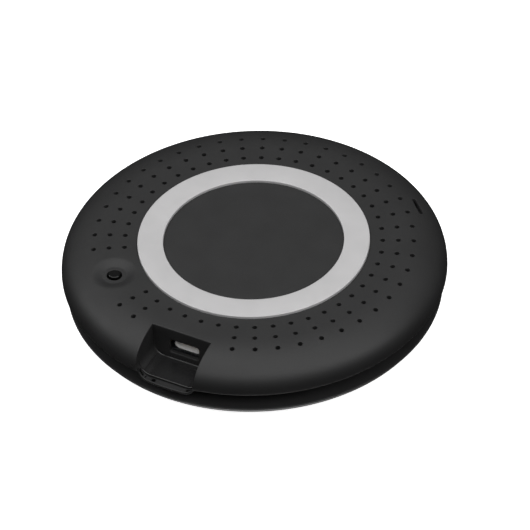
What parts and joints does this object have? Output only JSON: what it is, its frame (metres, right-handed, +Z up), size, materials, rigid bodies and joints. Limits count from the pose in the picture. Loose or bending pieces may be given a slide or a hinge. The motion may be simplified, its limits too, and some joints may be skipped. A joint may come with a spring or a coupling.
{
  "type": "conference speakerphone",
  "caption": "Round tabletop conference speakerphone with a perforated dome, silver ring, call button, microphone slot, port bay and a cable groove around the waist.",
  "frame": {"origin": "on the table under the body's axis, at the foot ring's underside", "axes": "+Z up along the body's axis; the port bay faces -Y; +X to the right seen from the bay"},
  "size_m": [0.12, 0.1193, 0.0237],
  "materials": {
    "shell_plastic": "fine matte texture",
    "base_plastic": "fine matte texture",
    "inner_plastic": "plain moulded",
    "disc_plastic": "very fine matte",
    "satin_silver": "satin silver",
    "foot_rubber": "matte",
    "seal_rubber": "matte",
    "button_plastic": "satin",
    "screw_steel": "zinc plated",
    "speaker_steel": "zinc plated",
    "mesh_cloth": "woven acoustic cloth",
    "ferrite": "sintered ferrite",
    "cone_paper": "pressed paper",
    "spider_cloth": "resin dipped cloth",
    "former_film": "amber film",
    "coil_copper": "enamelled copper wire",
    "board_mask": "black solder mask",
    "chip_black": "moulded package",
    "tin_plate": "tin plated",
    "port_nickel": "satin nickel",
    "capacitor_can": "bright can",
    "lead_red": "PVC insulation",
    "lead_grey": "PVC insulation",
    "connector_ivory": "nylon",
    "plunger_brown": "moulded"
  },
  "bodies": {
    "housing": {"top_shell": "shell_plastic", "trim_ring": "satin_silver", "centre_disc": "disc_plastic", "lower_cover": "base_plastic", "cord_hub": "base_plastic", "base_plate": "base_plastic", "foot_ring": "foot_rubber", "body_screws": "screw_steel", "sound_mesh": "mesh_cloth", "speaker_baffle": "inner_plastic", "baffle_screws": "screw_steel", "speaker_chamber": "inner_plastic", "speaker_gasket": "seal_rubber", "speaker_basket": "speaker_steel", "speaker_top_plate": "speaker_steel", "speaker_magnet": "ferrite", "speaker_yoke": "speaker_steel", "speaker_surround": "seal_rubber", "speaker_spider": "spider_cloth", "speaker_leads": "lead_red", "lead_seal": "seal_rubber", "main_board": "board_mask", "board_screws": "screw_steel", "usb_receptacle": "port_nickel", "usb_tongue": "chip_black", "processor_shield": "tin_plate", "audio_chips": "chip_black", "capacitors": "capacitor_can", "lead_connector": "connector_ivory", "button_switch": "chip_black", "mic_gasket": "seal_rubber", "mic_board": "board_mask", "mic_capsule": "tin_plate", "mic_leads": "lead_grey", "mic_connector": "connector_ivory"},
    "button": {"button_cap": "button_plastic"},
    "switch_stem": {"switch_plunger": "plunger_brown"},
    "diaphragm": {"speaker_cone": "cone_paper", "dust_cap": "cone_paper", "coil_former": "former_film", "voice_coil": "coil_copper"}
  },
  "joints": [
    {"name": "button_press", "type": "slide", "parent": "housing", "child": "button", "axis": [0, 0, -1], "range_m": [0, 0.0003], "stiffness_N_per_m": 500},
    {"name": "switch_press", "type": "slide", "parent": "housing", "child": "switch_stem", "axis": [0, 0, -1], "range_m": [0, 0.0003]},
    {"name": "cone_travel", "type": "slide", "parent": "housing", "child": "diaphragm", "axis": [0, 0, 1], "range_m": [-0.0008, 0.0008], "stiffness_N_per_m": 1500, "deforming": ["speaker_surround", "speaker_spider"]}
  ],
  "couplings": [
    {"joint": "switch_press", "follows": "button_press", "ratio": 1}
  ]
}
